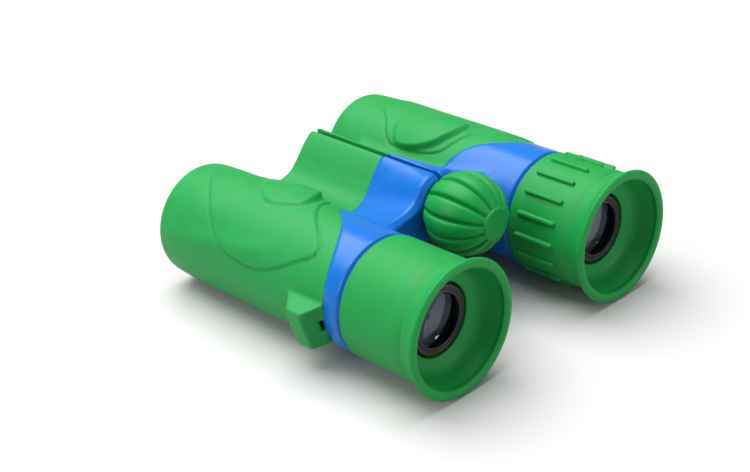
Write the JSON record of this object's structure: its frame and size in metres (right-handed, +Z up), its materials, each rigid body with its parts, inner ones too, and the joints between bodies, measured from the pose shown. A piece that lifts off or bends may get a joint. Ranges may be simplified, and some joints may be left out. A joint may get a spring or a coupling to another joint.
{
  "type": "compact roof-prism binoculars",
  "caption": "Small hand-held binoculars with two straight barrels on one central hinge, a fluted ball focus knob, a ribbed dioptre eyepiece, flared rubber eyecups, rubber armour and strap lugs.",
  "frame": {"origin": "middle of the footprint on the table, level with the lowest point of the eyecup rims, barrels fully open", "axes": "+X to the user's right, +Y the way the binoculars look, +Z up"},
  "size_m": [0.1138, 0.104, 0.0429],
  "materials": {
    "housing_blue": "glossy moulded blue",
    "armour_green": "matte moulded green rubber, fine satin texture",
    "eyecup_green": "matte moulded green rubber, smooth",
    "knob_green": "matte moulded green rubber, fluted",
    "black_plastic": "matte black",
    "lens_glass": "coated glass",
    "prism_glass": "polished glass",
    "spring_steel": "plain spring steel",
    "steel": "zinc plated",
    "aluminium": "turned",
    "brass": "turned",
    "acetal_white": "natural acetal"
  },
  "bodies": {
    "left_half": {"axle_screw": "steel", "hinge_axle": "aluminium", "hinge_cap": "housing_blue", "hinge_washers": "acetal_white", "left_armour": "armour_green", "left_cup_sleeve": "black_plastic", "left_eye_lens": "lens_glass", "left_eyecup": "eyecup_green", "left_field_lens": "lens_glass", "left_housing": "housing_blue", "left_objective_bezel": "black_plastic", "left_ocular_barrel": "black_plastic", "left_ocular_retainer": "black_plastic", "left_ocular_spacer": "black_plastic", "left_penta_prism": "prism_glass", "left_prism_cage": "black_plastic", "left_prism_clip": "spring_steel", "left_roof_prism": "prism_glass", "screw_bush": "brass"},
    "right_half": {"dioptre_snap_ring": "spring_steel", "right_armour": "armour_green", "right_housing": "housing_blue", "right_objective_bezel": "black_plastic", "right_penta_prism": "prism_glass", "right_prism_cage": "black_plastic", "right_prism_clip": "spring_steel", "right_roof_prism": "prism_glass"},
    "focus_knob": {"focus_screw": "steel", "knob_cap": "knob_green", "knob_grip": "knob_green", "knob_hub": "black_plastic", "knob_screw": "steel", "wave_washer": "spring_steel"},
    "left_focus": {"focus_nut": "brass", "left_crown_lens": "lens_glass", "left_flint_lens": "lens_glass", "left_lens_retainer": "black_plastic", "left_objective_cell": "black_plastic", "left_yoke": "aluminium", "left_yoke_screw": "steel", "nut_keys": "steel"},
    "right_focus": {"right_crown_lens": "lens_glass", "right_flint_lens": "lens_glass", "right_lens_retainer": "black_plastic", "right_objective_cell": "black_plastic", "right_yoke": "aluminium", "right_yoke_screw": "steel"},
    "dioptre": {"dioptre_ring": "black_plastic", "right_eyecup": "eyecup_green"},
    "right_ocular": {"dioptre_key": "steel", "right_eye_lens": "lens_glass", "right_field_lens": "lens_glass", "right_ocular_barrel": "black_plastic", "right_ocular_retainer": "black_plastic", "right_ocular_spacer": "black_plastic"}
  },
  "joints": [
    {"name": "fold", "type": "hinge", "parent": "left_half", "child": "right_half", "pos_m": [0, 0, 0.031], "axis": [0, 1, 0], "range_deg": [0, 42]},
    {"name": "focus_slide", "type": "slide", "parent": "left_half", "child": "left_focus", "axis": [0, 1, 0], "range_m": [-0.0024, 0.0024]},
    {"name": "focus_turn", "type": "hinge", "parent": "left_half", "child": "focus_knob", "pos_m": [0, -0.023, 0.031], "axis": [0, 1, 0], "range_deg": [-270.5, 270.5]},
    {"name": "right_focus_slide", "type": "slide", "parent": "right_half", "child": "right_focus", "axis": [0, 1, 0], "range_m": [-0.00241, 0.00241]},
    {"name": "dioptre_turn", "type": "hinge", "parent": "right_half", "child": "dioptre", "pos_m": [0.0335, -0.032, 0.0195], "axis": [0, 1, 0], "range_deg": [-45, 45]},
    {"name": "dioptre_slide", "type": "slide", "parent": "right_half", "child": "right_ocular", "axis": [0, 1, 0], "range_m": [-0.00121, 0.00121]}
  ],
  "couplings": [
    {"joint": "focus_turn", "follows": "focus_slide", "rad_per_m": 1963.5},
    {"joint": "right_focus_slide", "follows": "focus_slide", "ratio": 1},
    {"joint": "dioptre_slide", "follows": "dioptre_turn", "m_per_rad": 0.0015279}
  ]
}
